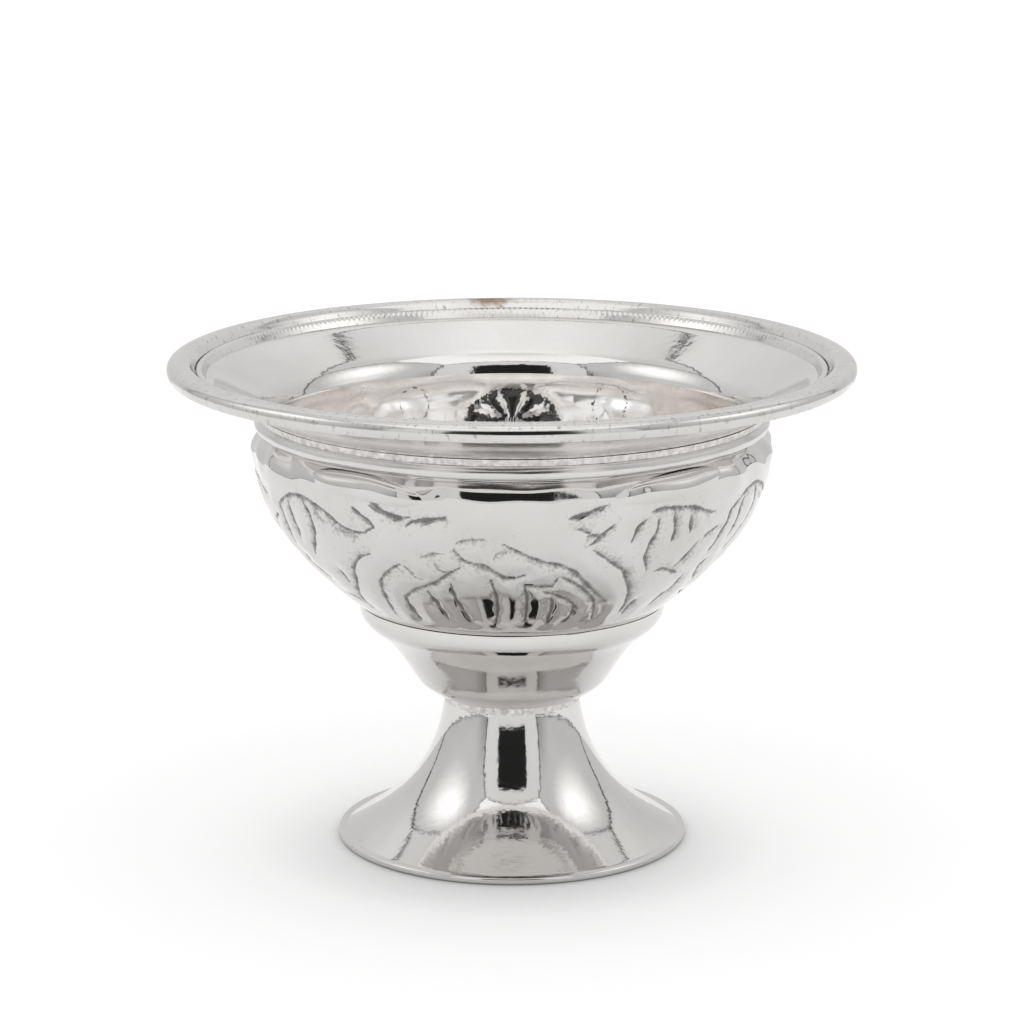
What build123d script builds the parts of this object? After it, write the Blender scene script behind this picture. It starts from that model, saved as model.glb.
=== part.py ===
from build123d import *
import math
import os

# Footed offering bowl in silver sheet: millimetres, +Z up, origin under the middle of the foot.
# Every piece is turned about the Z axis and seated on the piece below it.

# Stock
sheet = 0.7                 # thickness of the silver sheet
fit = 0.05                  # gap that the solder fills between fitted pieces

# Foot
foot_radius = 20.65         # outside of the foot wire
foot_wire_height = 0.8
foot_wire_round = 0.25      # rounding of the wire's outer edges
foot_wire_inset = 0.3       # wire that shows inside the trumpet
foot_step = 0.95            # wire that shows outside the trumpet
foot_height = 16.7          # trumpet, from the wire to the cup
foot_spread = 150           # heading of the trumpet where it leaves the wire, in degrees
foot_spread_pull = 4.0      # how far the curve follows that heading
stem_radius = 8.02          # at the cup's floor
stem_heading = 94           # slight taper of the stem's end, in degrees
stem_pull = 9.8             # how far the curve follows that heading
stem_land = 0.9             # straight end of the stem, where the solder runs

# Lower cup
cup_round = 0.75            # outer rounding between the cup's floor and its side
cup_low_heading = 28
cup_bulge_radius = 11.2
cup_bulge_height = 1.8      # above the cup's floor
cup_bulge_heading = 55
cup_bulge_pull = 3.1
cup_throat_radius = 16.6    # where the cup's side meets the rounded band
cup_throat_height = 8.3
cup_throat_heading = 36
cup_throat_pull = 3.6
band_radius = 18.0
band_height = 2.95          # from the cup's side to the bowl
band_bulge_height = 2.4     # from the cup's side to the widest level of the band

# Chased bowl
bowl_drop = 4.4             # depth of the hidden bottom below the band's top
bowl_bottom_pull = 9.0
bowl_seat_heading = 37      # slope of the bowl's side where it leaves the band
bowl_seat_pull = 9.8
belly_swell = 1.0           # how far the belly stands out beyond the mouth
belly_height = 18.2         # from the band's top to the widest level
belly_pull = 6.2
shoulder_height = 2.4       # from the widest level to the crease below the mouth
shoulder_pull = 1.1
crease_lean = 40            # how far the shoulder leans in at the crease, in degrees
crease_pull = 0.8
crease_round = 0.3
mouth_height = 1.25         # upright wall from the crease to the mouth's edge
mouth_radius = 29.35        # outside of the bowl's mouth

# Neck and flared rim
neck_lap = 0.5              # neck of the rim that reaches down into the mouth
neck_land = 0.25            # straight end of the neck
neck_bend = 1.4             # radius of the bend between the neck and the cone of the flare
flare_rise = 5.15           # from the bowl's mouth to the underside of the rim's edge
land_angle = 9              # slope of the rim's outer land, in degrees
land_fold = 2.0             # radius of the fold between the cone and the land
land_bare = 0.7             # bare land inside the bead wire
neck_ring_height = 1.6
neck_ring_land = 0.2        # flat top and bottom of the half-round neck ring
neck_ring_bulge = 0.4       # how far its round face stands out from the lands
neck_solder_start = 0.3     # start of the neck solder, along the bend of the neck
neck_solder_end = 0.6       # end of the neck solder, along the cone of the flare
stem_solder_leg = 0.6       # side of the solder fillet between stem and cup

# Border and bead wire
rim_radius = 40.0           # outside of the border
border_lip = 0.6            # border that hangs over the rim's edge
border_lip_height = 0.7     # from the rim's edge to the widest level of the border
border_seat = 2.5           # width of the border on the land
border_ridge_inset = 2.0    # from the outside of the border to its ridge
border_ridge_height = 2.0   # from the rim's edge to the ridge
border_outer_pull = 1.0     # how far the outer curve follows its heading at both ends
border_step = 0.6           # upright inner side, behind the bead wire
border_bevel = 50           # slope of the inner side above the bead wire, in degrees
border_bevel_pull = 0.6     # how far the inner curve follows its heading at both ends
bead_radius = 0.4

# Levels and radii that follow from the driving dimensions
cup_level = foot_wire_height + foot_height
throat_level = cup_level + cup_throat_height
band_level = throat_level + band_height
belly_level = band_level + belly_height
crease_level = belly_level + shoulder_height
mouth_level = crease_level + mouth_height
ring_bottom = crease_level + 2 * fit
ring_level = ring_bottom + neck_ring_height
rim_level = mouth_level + flare_rise
trumpet_radius = foot_radius - foot_step
belly_radius = mouth_radius + belly_swell
neck_radius = mouth_radius - sheet - fit
edge_radius = rim_radius - border_lip - fit
ring_inside = mouth_radius + fit
neck_level = mouth_level - neck_lap + neck_land
land_width = border_seat + 2 * bead_radius + land_bare


def ahead(point, heading, distance):
    """The point that lies a distance along a heading, in the plane of radius and height."""
    angle = math.radians(heading)
    return (point[0] + distance * math.cos(angle), point[1] + distance * math.sin(angle))


def curve(start, start_heading, start_pull, end, end_heading, end_pull):
    """Smooth stretch that leaves one point on a heading and reaches another on its own."""
    return (start, ahead(start, start_heading, start_pull), ahead(end, end_heading, -end_pull), end)


def arc(centre, radius, start_angle, turn):
    """Round stretch about a centre, by its start, middle and end."""
    return tuple(ahead(centre, start_angle + turn * share, radius) for share in (0, 0.5, 1))


def drawn(stretch):
    """Edge of a stretch: a line has two points, an arc three and a curve four."""
    kinds = {2: Line, 3: ThreePointArc, 4: Bezier}
    return kinds[len(stretch)](*stretch)


def to_left(place, along, distance):
    """The point at a distance to the left of a place, looking along a direction."""
    moved = place + Vector(-along.Y, along.X).normalized() * distance
    return (moved.X, moved.Y)


def beside(stretch, distance):
    """The stretch that runs at a distance to the left of another, bent to match it at both ends."""
    if len(stretch) < 4:
        edge = drawn(stretch)
        marks = [step / (len(stretch) - 1) for step in range(len(stretch))]
        return tuple(to_left(edge.position_at(mark), edge.tangent_at(mark), distance) for mark in marks)
    start, first, second, end = (Vector(*point) for point in stretch)
    leaving = first - start
    middle = second - first
    arriving = end - second
    start_bend = 2 / 3 * leaving.cross(middle).Z / leaving.length ** 3
    end_bend = 2 / 3 * middle.cross(arriving).Z / arriving.length ** 3
    new_start = Vector(*to_left(start, leaving, distance))
    new_end = Vector(*to_left(end, arriving, distance))
    new_first = new_start + leaving * (1 - start_bend * distance)
    new_second = new_end - arriving * (1 - end_bend * distance)
    return tuple((point.X, point.Y) for point in (new_start, new_first, new_second, new_end))


def closed(stretches):
    """The face inside a chain of stretches, with a straight line from the last end to the start."""
    last_line = Line(stretches[-1][-1], stretches[0][0])
    return Face(Wire([*map(drawn, stretches), last_line]))


def sheet_section(front):
    """The cut through a sheet whose show face follows the stretches."""
    back = [beside(stretch, sheet) for stretch in front]
    start_line = Line(back[0][0], front[0][0])
    end_line = Line(front[-1][-1], back[-1][-1])
    return Face(Wire([start_line, *map(drawn, front), end_line, *map(drawn, back)]))


def turned(section):
    """The solid that a section sweeps in a full turn about the Z axis."""
    return revolve(Plane.XZ * section, Axis.Z, 360)


def bowl_outside():
    """Outer line of the bowl, from the middle of its bottom over the shoulder to the mouth."""
    bottom = (0, band_level - bowl_drop)
    seat = (band_radius, band_level)
    belly = (belly_radius, belly_level)
    crease_centre = (mouth_radius + crease_round, crease_level)
    crease = ahead(crease_centre, 180 + crease_lean, crease_round)
    return [
        curve(bottom, 0, bowl_bottom_pull, seat, bowl_seat_heading, bowl_drop / 2),
        curve(seat, bowl_seat_heading, bowl_seat_pull, belly, 90, belly_pull),
        curve(belly, 90, shoulder_pull, crease, 90 + crease_lean, crease_pull),
        arc(crease_centre, crease_round, 180 + crease_lean, -crease_lean),
        ((mouth_radius, crease_level), (mouth_radius, mouth_level)),
    ]


def chased_bowl():
    """Round bowl with a closed bottom and an upright mouth."""
    return turned(sheet_section(bowl_outside()))


def bowl_seat():
    """Space that the bowl takes up in the cup, with the solder gap around it."""
    outside = [beside(stretch, -fit) for stretch in bowl_outside()[:2]]
    widest = outside[-1][-1]
    return turned(closed([*outside, (widest, (0, widest[1]))]))


def lower_cup():
    """Cup with a flat floor, a flared side and a rounded band that the bowl sits in."""
    floor_end = (stem_radius + stem_solder_leg, cup_level)
    centre = (floor_end[0], cup_level + cup_round)
    side_start = ahead(centre, cup_low_heading - 90, cup_round)
    bulge = (cup_bulge_radius, cup_level + cup_bulge_height)
    throat = (cup_throat_radius, throat_level)
    band = (band_radius, throat_level + band_bulge_height)
    side_pull = cup_bulge_height / 3
    band_pull = band_bulge_height / 2
    outside = [
        ((0, cup_level), floor_end),
        arc(centre, cup_round, 270, cup_low_heading),
        curve(side_start, cup_low_heading, side_pull, bulge, cup_bulge_heading, side_pull),
        curve(bulge, cup_bulge_heading, cup_bulge_pull, throat, cup_throat_heading, cup_throat_pull),
        curve(throat, cup_throat_heading, band_pull / 2, band, 90, band_pull),
        (band, (band_radius, band_level + sheet)),
    ]
    return turned(sheet_section(outside)) - bowl_seat()


def pedestal_foot():
    """Hollow trumpet that stands on the foot wire and carries the cup on its end."""
    edge = (trumpet_radius, foot_wire_height)
    end = (stem_radius, cup_level)
    stem = ahead(end, stem_heading, -stem_land)
    outside = [
        curve(edge, foot_spread, foot_spread_pull, stem, stem_heading, stem_pull),
        (stem, end),
    ]
    trumpet = turned(sheet_section(outside))
    below = Cylinder(foot_radius, sheet, align=(Align.CENTER, Align.CENTER, Align.MAX))
    above = Cylinder(foot_radius, sheet, align=(Align.CENTER, Align.CENTER, Align.MIN))
    return trumpet - Pos(0, 0, foot_wire_height) * below - Pos(0, 0, cup_level) * above


def foot_wire():
    """Flat ring under the trumpet's edge, which the bowl stands on."""
    seat_width = sheet / math.sin(math.radians(foot_spread))
    width = foot_step + seat_width + foot_wire_inset
    middle = (foot_radius - width / 2, foot_wire_height / 2)
    section = Pos(*middle) * Rectangle(width, foot_wire_height)
    outer_corners = section.vertices().sort_by(Axis.X)[-2:]
    return turned(fillet(outer_corners, foot_wire_round))


def stem_solder():
    """Solder under the cup, around the end of the stem."""
    corner = (stem_radius, cup_level)
    out = ahead(corner, 0, stem_solder_leg)
    down = ahead(corner, stem_heading, -stem_solder_leg)
    return turned(closed([(corner, out), (out, down)]))


def neck_ring():
    """Low half-round wire around the bowl's mouth, on the crease of the shoulder."""
    land_end = ring_inside + neck_ring_land
    bulge = (land_end + neck_ring_bulge, ring_bottom + neck_ring_height / 2)
    outline = [
        ((ring_inside, ring_bottom), (land_end, ring_bottom)),
        ((land_end, ring_bottom), bulge, (land_end, ring_level)),
        ((land_end, ring_level), (ring_inside, ring_level)),
    ]
    return turned(closed(outline))


def flare_underside():
    """Under line of the rim, from the end of its neck over the cone to its straight land."""
    neck_end = (neck_radius, mouth_level - neck_lap)
    neck_start = (neck_radius, neck_level)
    bend_centre = (neck_radius + neck_bend, neck_level)
    fold_centre = ahead(land_point(land_width, 0), land_angle - 90, land_fold)
    run = fold_centre[0] - bend_centre[0]
    climb = fold_centre[1] - bend_centre[1]
    steeper = math.asin((land_fold - neck_bend) / math.hypot(run, climb))
    cone_angle = math.degrees(math.atan2(climb, run) + steeper)
    bend = arc(bend_centre, neck_bend, 180, cone_angle - 90)
    fold = arc(fold_centre, land_fold, cone_angle + 90, land_angle - cone_angle)
    return [(neck_end, neck_start), bend, (bend[-1], fold[0]), fold]


def neck_solder():
    """Solder between the top of the neck ring and the underside of the flare."""
    bend, cone = (drawn(beside(stretch, -fit)) for stretch in flare_underside()[1:3])
    start = bend.position_at(neck_solder_start / bend.length)
    end = cone.position_at(neck_solder_end / cone.length)
    inner = (ring_inside, ring_level)
    outer = (ring_inside + neck_ring_land, ring_level)
    return turned(closed([((start.X, start.Y), inner), (inner, outer), (outer, (end.X, end.Y))]))


def land_point(distance, rise):
    """Point on the rim's land: distance inward from its edge and rise above its underside."""
    inward = ahead((edge_radius, rim_level), land_angle, -distance)
    return ahead(inward, land_angle + 90, rise)


def flared_rim():
    """Neck that bends out into a wide flare with a straight land for the border."""
    underside = flare_underside()
    land = (underside[-1][-1], (edge_radius, rim_level))
    return turned(sheet_section([*underside, land]))


def rim_border():
    """Moulding that sits on the land, curls over its edge and slopes down to the bead wire."""
    inner_foot = land_point(border_seat, sheet + fit)
    inner_step = (inner_foot[0], inner_foot[1] + border_step)
    wall = edge_radius + fit
    wall_foot = (wall, rim_level)
    corner_run = (wall - land_point(0, sheet + fit)[0]) / math.cos(math.radians(land_angle))
    corner = land_point(-corner_run, sheet + fit)
    ridge = (rim_radius - border_ridge_inset, rim_level + border_ridge_height)
    widest = (rim_radius, rim_level + border_lip_height)
    lip = (wall + border_lip / 4, rim_level)
    lip_pull = border_lip / 2
    bevel_heading = 180 + border_bevel
    outline = [
        (inner_foot, corner),
        (corner, wall_foot),
        (wall_foot, lip),
        curve(lip, 0, lip_pull, widest, 90, lip_pull),
        curve(widest, 90, border_outer_pull, ridge, 180, border_outer_pull),
        curve(ridge, 180, border_bevel_pull, inner_step, bevel_heading, border_bevel_pull),
    ]
    return turned(closed(outline))


def bead_wire():
    """Round wire on the land, just inside the border."""
    centre = land_point(border_seat + bead_radius + fit, sheet + fit + bead_radius)
    return turned(Pos(*centre) * Circle(bead_radius))


pieces = {
    "foot_wire": foot_wire(),
    "pedestal_foot": pedestal_foot(),
    "stem_solder": stem_solder(),
    "lower_cup": lower_cup(),
    "chased_bowl": chased_bowl(),
    "neck_ring": neck_ring(),
    "neck_solder": neck_solder(),
    "flared_rim": flared_rim(),
    "bead_wire": bead_wire(),
    "rim_border": rim_border(),
}

os.makedirs("parts", exist_ok=True)
for name, piece in pieces.items():
    export_step(piece, os.path.join("parts", name + ".step"))
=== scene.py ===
import math

import bpy
import numpy as np
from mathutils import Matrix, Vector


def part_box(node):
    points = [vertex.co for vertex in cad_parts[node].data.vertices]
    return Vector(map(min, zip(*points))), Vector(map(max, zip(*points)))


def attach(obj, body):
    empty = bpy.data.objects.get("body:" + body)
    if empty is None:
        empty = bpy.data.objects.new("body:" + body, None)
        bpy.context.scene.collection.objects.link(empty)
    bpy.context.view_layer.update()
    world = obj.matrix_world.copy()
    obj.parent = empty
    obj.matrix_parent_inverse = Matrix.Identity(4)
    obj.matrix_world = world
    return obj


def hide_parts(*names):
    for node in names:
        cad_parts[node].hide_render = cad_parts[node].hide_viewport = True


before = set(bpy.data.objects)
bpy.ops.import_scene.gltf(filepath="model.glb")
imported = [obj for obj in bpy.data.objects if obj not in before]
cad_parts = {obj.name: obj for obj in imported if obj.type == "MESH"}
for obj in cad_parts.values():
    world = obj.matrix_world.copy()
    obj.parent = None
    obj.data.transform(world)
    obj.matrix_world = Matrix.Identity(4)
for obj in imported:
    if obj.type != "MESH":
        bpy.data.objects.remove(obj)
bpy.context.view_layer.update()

# Footed offering bowl in chased silver.
# Sizes are in millimetres and become metres in the meshes.
# Azimuths are in degrees, 0 at the front of the bowl and growing to the right.
metre = 1000


def extent(node):
    """Lowest level, highest level and outer radius of a CAD node, in millimetres."""
    lowest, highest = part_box(node)
    return lowest.z * metre, highest.z * metre, highest.x * metre


# Levels and radii of the CAD nodes
wire_bottom, wire_top, foot_radius = extent("foot_wire")
cup_level, trumpet_radius = extent("pedestal_foot")[1:]
stem_solder_radius = extent("stem_solder")[2]
lip_level, band_radius = extent("lower_cup")[1:]
bowl_bottom, mouth_level, belly_radius = extent("chased_bowl")
ring_bottom, ring_level, ring_radius = extent("neck_ring")
neck_end, edge_radius = extent("flared_rim")[::2]
ridge_level, rim_radius = extent("rim_border")[1:]
bead_bottom, bead_top, bead_reach = extent("bead_wire")

# Shapes between those levels, equal or close to those of the CAD model
sheet = 0.7                 # thickness of the silver sheet
solder_gap = 0.05
wire_width = 2.65
wire_round = 0.25
foot_spread = 150           # heading of the trumpet where it leaves the wire
foot_spread_pull = 5.0
stem_radius = 7.9
stem_heading = 97
stem_pull = 9.75
stem_land = 0.9
cup_round = 0.75
cup_low_heading = 28
cup_bulge = (11.2, cup_level + 1.8)
cup_bulge_heading = 55
cup_bulge_pull = 3.1
cup_throat = (16.6, cup_level + 8.3)
cup_throat_heading = 36
cup_throat_pull = 3.6
band_bulge_level = cup_throat[1] + 2.4
seat_level = cup_throat[1] + 2.95
bowl_bottom_pull = 9.0
bowl_bottom_end_pull = 2.2
bowl_seat_heading = 37
bowl_seat_pull = 9.8
belly_level = seat_level + 18.2
belly_pull = 6.2
shoulder_pull = 1.1
crease_level = belly_level + 2.4
crease_lean = 40            # how far the shoulder leans in at the crease
crease_pull = 0.8
crease_round = 0.3
mouth_radius = 29.35
ring_inside = mouth_radius + solder_gap
ring_land = 0.2
neck_radius = mouth_radius - sheet - solder_gap
neck_land = 0.25
neck_bend = 1.4             # radius of the bend between the neck and the cone of the flare
land_fold = 2.0             # radius of the fold between the cone and the land
land_angle = 9              # slope of the rim's outer land
land_width = 4.0
rim_level = ridge_level - 2.0
border_lip = 0.6
border_lip_height = 0.95
border_seat = 2.5
border_ridge_inset = 2.0
border_outer_pull = 0.9
border_step = 0.6           # upright inner side, behind the bead wire
border_bevel = 50           # slope of the inner side above the bead wire
border_bevel_pull = 0.6


# Outlines: rows of (radius, height) with the metal on the left of the way along

def ahead(point, heading, distance):
    """The point that lies a distance along a heading, in the plane of radius and height."""
    angle = math.radians(heading)
    return (point[0] + distance * math.cos(angle), point[1] + distance * math.sin(angle))


def line(start, end, count):
    """Straight stretch in a number of steps."""
    share = np.linspace(0, 1, count + 1)[:, None]
    return np.array(start) * (1 - share) + np.array(end) * share


def arc(centre, radii, start_angle, turn, count):
    """Round or elliptic stretch about a centre, in a number of steps."""
    angle = np.radians(start_angle + turn * np.linspace(0, 1, count + 1))
    return np.stack([centre[0] + radii[0] * np.cos(angle), centre[1] + radii[1] * np.sin(angle)], axis=1)


def curve(start, start_heading, start_pull, end, end_heading, end_pull, count):
    """Smooth stretch that leaves one point on a heading and reaches another on its own."""
    handles = [start, ahead(start, start_heading, start_pull), ahead(end, end_heading, -end_pull), end]
    first, second, third, fourth = (np.array(handle) for handle in handles)
    share = np.linspace(0, 1, count + 1)[:, None]
    rest = 1 - share
    return rest**3 * first + 3 * rest**2 * share * second + 3 * rest * share**2 * third + share**3 * fourth


def chain(*stretches):
    """One outline from stretches that follow each other."""
    return np.concatenate([stretches[0], *(stretch[1:] for stretch in stretches[1:])])


shortest = 1e-9             # keeps a division from zero


def outward(outline, is_ring):
    """Unit normals of an outline, to the right of the way along."""
    if is_ring:
        along = np.roll(outline, -1, axis=0) - np.roll(outline, 1, axis=0)
    else:
        along = np.gradient(outline, axis=0)
    along = along / np.maximum(np.linalg.norm(along, axis=1, keepdims=True), shortest)
    return np.stack([along[:, 1], -along[:, 0]], axis=1)


def sheet_back(front):
    """Other face of a sheet whose show face follows the outline, in the way back."""
    return (front - outward(front, False) * sheet)[::-1]


# Meshes

wave_start = (1.7, 0.6)     # where a wave of hand work starts, by its order and by its number
wave_drift = 2              # how far the waves drift along the outline, in radians


def azimuths(steps):
    """Azimuth of each step of a turn, in radians."""
    return 2 * np.pi * np.arange(steps) / steps


def wobble(outline, steps, size, waves):
    """Slight unevenness of hand work: waves round the piece that drift along the outline."""
    angle = azimuths(steps)[None, :]
    along = np.arange(len(outline))[:, None] / len(outline) * 2 * np.pi
    total = np.zeros((len(outline), steps))
    for order, wave in enumerate(waves):
        phase = wave_start[0] * order + wave_start[1] * wave
        drift = wave_drift * np.sin(along * (order + 1) + phase)
        total += np.sin(wave * angle + phase + drift) / (order + 1)
    return size * total


def only_rows(shift, rows):
    """Shift of some rows of an outline, and none of the rest."""
    kept = np.zeros_like(shift)
    kept[rows] = shift[rows]
    return kept


def turned(name, outline, steps, shift, sharp_angle=40):
    """Smooth mesh of an outline turned about the Z axis and moved along its normals by the shift.

    An outline from axis to axis gets a point at each end, and any other one is a ring.
    """
    is_ring = outline[0][0] > 0
    moved = outline[:, None, :] + outward(outline, is_ring)[:, None, :] * shift[..., None]
    angle = azimuths(steps)
    radius = moved[..., 0]
    points = np.stack([radius * np.sin(angle), -radius * np.cos(angle), moved[..., 1]], axis=-1) / metre
    count = len(outline)
    columns = np.arange(steps)
    next_column = (columns + 1) % steps
    rows = np.arange(count) if is_ring else np.arange(1, count - 2)
    here = rows[:, None] * steps
    there = (rows[:, None] + 1) % count * steps
    quads = np.stack([here + columns, here + next_column, there + next_column, there + columns], axis=-1)
    across = np.stack([columns, columns + 1, columns + 1, columns], axis=-1) / steps
    up = np.stack([rows, rows, rows + 1, rows + 1], axis=-1) / count
    places = np.stack(np.broadcast_arrays(across[None, :], up[:, None]), axis=-1)
    faces = quads.reshape(-1, 4).tolist()
    face_places = places.reshape(-1, 2)
    if not is_ring:
        first = steps
        last = (count - 2) * steps
        top_pole = (count - 1) * steps
        faces += [[0, first + after, first + here] for here, after in zip(columns, next_column)]
        faces += [[last + here, last + after, top_pole] for here, after in zip(columns, next_column)]
        fan = np.array([[0.5, 0], [1, 1 / count], [0, 1 / count]])
        cap = np.array([[0, 1 - 1 / count], [1, 1 - 1 / count], [0.5, 1]])
        face_places = np.concatenate([face_places, np.tile(fan, (steps, 1)), np.tile(cap, (steps, 1))])
    mesh = bpy.data.meshes.new(name)
    mesh.from_pydata(points.reshape(-1, 3).tolist(), [], faces)
    layer = mesh.uv_layers.new(name="OFBake")
    layer.data.foreach_set("uv", face_places.astype(np.float32).ravel())
    mesh.shade_smooth()
    mesh.set_sharp_from_angle(angle=math.radians(sharp_angle))
    return mesh


def keep_values(mesh, name, values):
    """Stores one number for each point of a mesh, for its material to read."""
    attribute = mesh.attributes.new(name, "FLOAT", "POINT")
    attribute.data.foreach_set("value", np.asarray(values, np.float32).ravel())


def piece(mesh, node, material):
    """Object of a mesh that stands for a CAD node."""
    made = bpy.data.objects.new(node + "_silver", mesh)
    bpy.context.scene.collection.objects.link(made)
    mesh.materials.append(material)
    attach(made, "root")
    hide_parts(node)


# Chased ornament: lines as (azimuth, height) points, drawn for one motif and repeated round the bowl

def smooth_row(points, parts=5):
    """Smooth row of points through the drawn ones."""
    drawn = np.array(points, float)
    before = np.concatenate([[2 * drawn[0] - drawn[1]], drawn[:-1]])
    after = np.concatenate([drawn[1:], [2 * drawn[-1] - drawn[-2]]])
    slope = (after - before) / 2
    share = np.linspace(0, 1, parts, endpoint=False)[:, None]
    runs = []
    for index in range(len(drawn) - 1):
        here, there = drawn[index], drawn[index + 1]
        runs.append(
            here * (2 * share**3 - 3 * share**2 + 1) + slope[index] * (share**3 - 2 * share**2 + share)
            + there * (3 * share**2 - 2 * share**3) + slope[index + 1] * (share**3 - share**2)
        )
    return np.concatenate([*runs, drawn[-1:]])


fan_places = (-5, 115, -125)
fan_lines = [
    [(-36, 30.5), (-34, 32.3), (-32, 34.4), (-30, 36), (-26, 37.6), (-22, 38.8)],
    [(-25, 34), (-21, 35.2), (-14, 36.7), (-10, 38.1), (-7, 39)],
    [(-7, 40.2), (-4, 39.7), (-1, 39.3), (1, 38.6), (3, 37.9), (5, 37.7), (8, 38.2)],
    [(3, 42.3), (6, 41.4), (11, 40.1), (15, 39.5), (19, 38.6), (24, 36.3), (29, 34.4), (32, 33.4)],
    [(17, 37.7), (22, 36.2), (27, 34.2), (29, 32.8), (31, 30.9)],
    [(8, 36.7), (12, 36.5), (15, 36.6), (16, 37.5)],
    [(13, 35.7), (17, 35.1), (21, 34), (24, 32.8)],
]
fan_lobes = [
    [(-21, 38.7), (-20, 37.8), (-19, 37.2), (-17, 37.1)],
    [(-16, 40), (-13, 40.6), (-10, 40.8)],
    [(-13, 39.3), (-12, 38.5), (-10, 38.3), (-9, 38.5)],
    [(-8, 41.4), (-6, 40.2), (-5, 39.7)],
    [(-7, 42.2), (-5, 42.6), (-1, 42.8)],
    [(1, 40.4), (2, 41.1), (4, 41.2)],
]
fan_flutes = [
    [(-25, 34), (-26, 32.1), (-26, 30.4)],
    [(-17, 35.2), (-16, 33.5), (-15, 31)],
    [(-10, 36.7), (-10, 34.6), (-8, 30.8)],
    [(0, 37.3), (1, 35.1), (1, 32.8), (0, 30.8)],
    [(8, 36.7), (9, 34.3), (9, 31.1)],
    [(15, 34.7), (16, 33.4), (16, 30.7)],
    [(22, 33.2), (23, 31.9), (21, 30.6)],
]
fan_matting = [
    [(27, 34.8), (31, 33.2), (33, 31.8), (32, 30.6)],
    [(-4, 42.7), (-3, 42.6)],
]

tulip_places = (55, 175, -65)
tulip_lines = [
    [(2, 43.3), (6, 44.5), (10, 45.2), (14, 45.2), (18, 44.6),
     (21, 44), (24, 43), (27, 42.4), (31, 42.4), (34, 43.1)],
    [(-24, 45.1), (-21, 45.4), (-16, 45.1), (-12, 44.8), (-7, 43.8), (-5, 43.7)],
    [(31, 39.6), (27, 38.7), (23, 37), (20, 34.9), (14, 32.1), (14, 30.6)],
    [(-37, 41), (-34, 39.9), (-31, 38.8), (-28, 37.8), (-26, 36.5), (-23, 34.7), (-21, 32.8), (-20, 31.2)],
    [(-41, 43.8), (-38, 43.1), (-35, 42.9)],
    [(-33, 44), (-35, 43.2), (-37, 42.1), (-38, 41.7)],
    [(-8, 40), (-10, 38.2), (-12, 37.1)],
    [(2, 36.8), (1, 35.5), (5, 33.9)],
    [(-5, 35.4), (-5, 33.5), (-8, 31.4)],
    [(6, 32.1), (12, 31.2)],
]
tulip_petals = [
    [(2, 43.3), (2, 41.8), (1, 39.8), (0, 38.1)],
    [(7, 44), (7, 42.4), (7, 40.5), (6, 39.4)],
    [(13, 44.8), (15, 43), (14, 40.5), (9, 37.6)],
    [(-25, 44.3), (-27, 43.2), (-28, 41.6)],
    [(-22, 44), (-22, 42.4), (-23, 40.8), (-23, 39.2), (-21, 37.5)],
    [(-18, 44.7), (-17, 42.4), (-17, 41)],
    [(-13, 43.9), (-12, 41.7)],
    [(-18, 37), (-15, 37), (-9, 36)],
    [(-2, 41.5), (-6, 40.6)],
    [(16, 36.1), (16, 34.4)],
    [(-18, 33), (-18, 31)],
]
tulip_leaves = [
    [(29, 45.2), (31, 44.5), (33, 43.7), (34, 43.2)],
    [(34, 46.1), (37, 45.3), (40, 44.8), (43, 44.9)],
    [(42, 43.8), (44, 44.5), (47, 44.8), (51, 45.2)],
    [(-43, 45.1), (-39, 45.7), (-35, 46.4)],
]
tulip_matting = [
    [(17, 43.6), (20, 42.7)],
    [(23, 42.3), (29, 41.6)],
]

fan_heart = (0, 33)         # the side of a line towards its motif's heart is the soft one
tulip_heart = (0, 39)

# Each kind of line: places round the bowl, heart, drawing, crisp and soft half widths, depth, and darkness
# of tarnish with painted shade
ornament = [
    (fan_places, fan_heart, fan_lines, 0.16, 0.62, 0.16, 1.00),
    (fan_places, fan_heart, fan_lobes, 0.14, 0.48, 0.12, 0.80),
    (fan_places, fan_heart, fan_flutes, 0.36, 0.42, 0.22, 1.10),
    (fan_places, fan_heart, fan_matting, 0.50, 0.80, 0.05, 0.60),
    (tulip_places, tulip_heart, tulip_lines, 0.18, 0.68, 0.16, 1.00),
    (tulip_places, tulip_heart, tulip_petals, 0.28, 0.52, 0.22, 1.05),
    (tulip_places, tulip_heart, tulip_leaves, 0.32, 0.50, 0.22, 1.15),
    (tulip_places, tulip_heart, tulip_matting, 0.60, 0.90, 0.05, 0.60),
]
cushion_width = 1.5         # how far the metal swells between the lines
cushion_depth = 0.16
cushion_reach = 2.2         # how far from a line anything changes, in cushion widths
narrowest = 20              # about the smallest radius of the chased part
taper = 0.06                # share of half a wave that is left out at each end of a line
wander = 0.2                # share by which a line's weight changes along it
wander_pace = 2.3           # pace of that change, in radians for each millimetre
smudge_reach = 1.5          # how far the painted shade fades out beside a line, in soft half widths
smudge_share = 0.75         # painted shade beside a line, as a share of the darkness in it


def surface_points(azimuth, height, outline):
    """Points on the outline's turned surface, in millimetres."""
    angle, level = np.broadcast_arrays(np.radians(azimuth), height)
    radius = np.interp(level, outline[:, 1], outline[:, 0])
    return np.stack([radius * np.sin(angle), -radius * np.cos(angle), level], axis=-1)


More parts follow.
